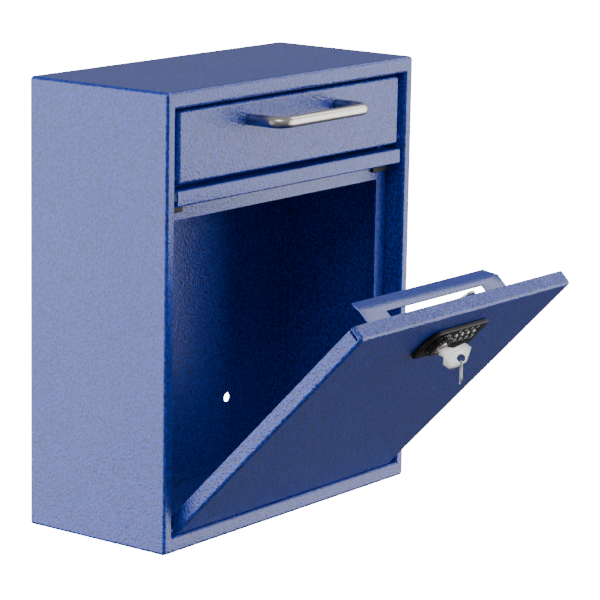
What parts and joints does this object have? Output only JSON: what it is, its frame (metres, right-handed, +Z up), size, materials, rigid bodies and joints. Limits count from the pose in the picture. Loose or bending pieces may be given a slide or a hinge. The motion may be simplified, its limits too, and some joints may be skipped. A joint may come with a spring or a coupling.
{
  "type": "wall drop mailbox",
  "caption": "Wall-mounted sheet-steel drop mailbox with a tilting deposit hopper, a wire pull handle and a drop-down door with a combination lock and key.",
  "frame": {"origin": "middle of the cabinet's underside", "axes": "+X to the right seen from the front, -Y out of the front, +Z up"},
  "size_m": [0.27, 0.2682, 0.305],
  "materials": {
    "cabinet_blue": "royal blue textured powder coat, semi-gloss",
    "door_blue": "royal blue powder coat, semi-gloss",
    "hopper_blue": "royal blue powder coat, semi-gloss",
    "lock_black": "black moulded plastic, satin",
    "dial_black": "black moulded wheel with white numbers",
    "rubber": "black rubber, matt",
    "zinc": "bright zinc plate",
    "nickel": "bright nickel plate",
    "handle_nickel": "satin nickel"
  },
  "bodies": {
    "cabinet": {"housing": "cabinet_blue", "back_panel": "cabinet_blue", "mid_rail": "cabinet_blue", "bumper_left": "rubber", "bumper_right": "rubber", "door_pin_left": "zinc", "door_pin_right": "zinc", "hopper_pin_left": "zinc", "hopper_pin_right": "zinc"},
    "door": {"door_panel": "door_blue", "lock_guard": "door_blue", "lock_bezel": "lock_black", "lock_body": "lock_black", "dial_axle": "zinc"},
    "hopper": {"hopper_front": "hopper_blue", "hopper_chute": "hopper_blue", "hopper_cheek_left": "hopper_blue", "hopper_cheek_right": "hopper_blue", "handle": "handle_nickel", "handle_screw_left": "zinc", "handle_screw_right": "zinc"},
    "knob": {"lock_knob": "lock_black", "cam_spindle": "zinc", "cam_lever": "zinc", "cam_nut": "zinc"},
    "key": {"key_plug": "nickel", "key": "nickel"},
    "ring": {"key_ring": "nickel"},
    "dial_wheel_1": {"dial_1": "dial_black"},
    "dial_wheel_2": {"dial_2": "dial_black"},
    "dial_wheel_3": {"dial_3": "dial_black"},
    "dial_wheel_4": {"dial_4": "dial_black"}
  },
  "joints": [
    {"name": "door_swing", "type": "hinge", "parent": "cabinet", "child": "door", "pos_m": [0, -0.054, 0.015], "axis": [1, 0, 0], "range_deg": [-44, 0]},
    {"name": "hopper_tilt", "type": "hinge", "parent": "cabinet", "child": "hopper", "pos_m": [0, -0.0525, 0.2482], "axis": [1, 0, 0], "range_deg": [0, 45]},
    {"name": "knob_turn", "type": "hinge", "parent": "door", "child": "knob", "pos_m": [-0.013, -0.18471, 0.14387], "axis": [0, 0.7193, 0.6947], "range_deg": [-45, 45]},
    {"name": "key_turn", "type": "hinge", "parent": "knob", "child": "key", "pos_m": [-0.013, -0.18471, 0.14387], "axis": [0, 0.7193, 0.6947], "range_deg": [0, 90]},
    {"name": "ring_swing", "type": "hinge", "parent": "key", "child": "ring", "pos_m": [-0.00847, -0.20217, 0.13331], "axis": [0.7071, 0.4912, -0.5086], "range_deg": [-25, 25]},
    {"name": "dial_1_turn", "type": "hinge", "parent": "door", "child": "dial_wheel_1", "pos_m": [0.0036, -0.18305, 0.14547], "axis": [1, 0, 0], "continuous": true},
    {"name": "dial_2_turn", "type": "hinge", "parent": "door", "child": "dial_wheel_2", "pos_m": [0.0104, -0.18305, 0.14547], "axis": [1, 0, 0], "continuous": true},
    {"name": "dial_3_turn", "type": "hinge", "parent": "door", "child": "dial_wheel_3", "pos_m": [0.0172, -0.18305, 0.14547], "axis": [1, 0, 0], "continuous": true},
    {"name": "dial_4_turn", "type": "hinge", "parent": "door", "child": "dial_wheel_4", "pos_m": [0.024, -0.18305, 0.14547], "axis": [1, 0, 0], "continuous": true}
  ]
}
